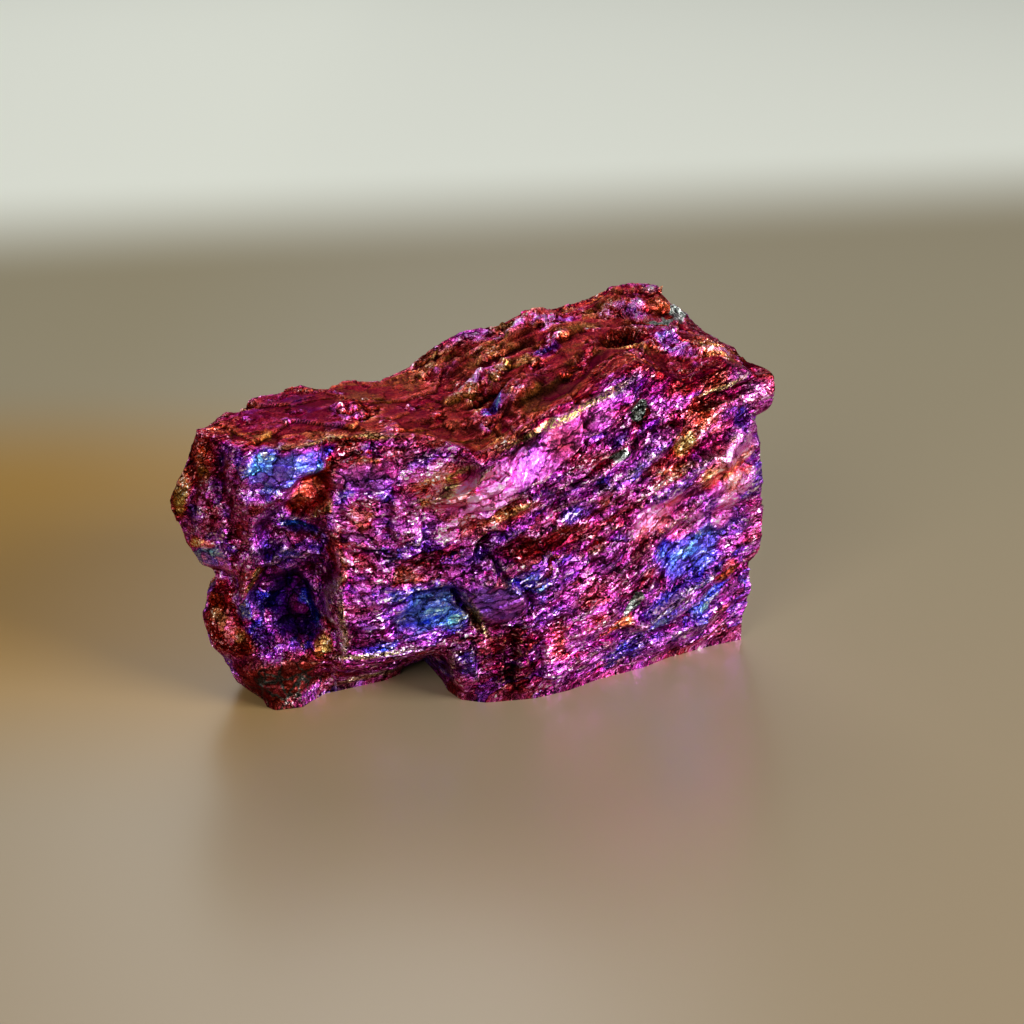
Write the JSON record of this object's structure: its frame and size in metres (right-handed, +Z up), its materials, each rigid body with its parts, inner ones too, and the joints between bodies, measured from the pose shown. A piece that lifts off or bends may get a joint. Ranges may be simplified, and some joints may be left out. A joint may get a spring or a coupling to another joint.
{
  "type": "peacock ore specimen",
  "caption": "Rough lump of tarnished copper ore in magenta, purple and blue, with a low bench, a raised peak and a flat underside to stand on.",
  "frame": {"origin": "middle of the stone's bounding box in X and Y, on the surface that it stands on", "axes": "+X along the stone's length towards its peak, +Z up, and -Y out of the streaked front face"},
  "size_m": [0.0792, 0.0386, 0.0468],
  "materials": {
    "peacock_ore": "broken metallic sulphide with an iridescent tarnish: magenta and purple, with blue, orange and gold patches"
  },
  "bodies": {
    "root": {"peacock_ore": "peacock_ore"}
  },
  "joints": []
}
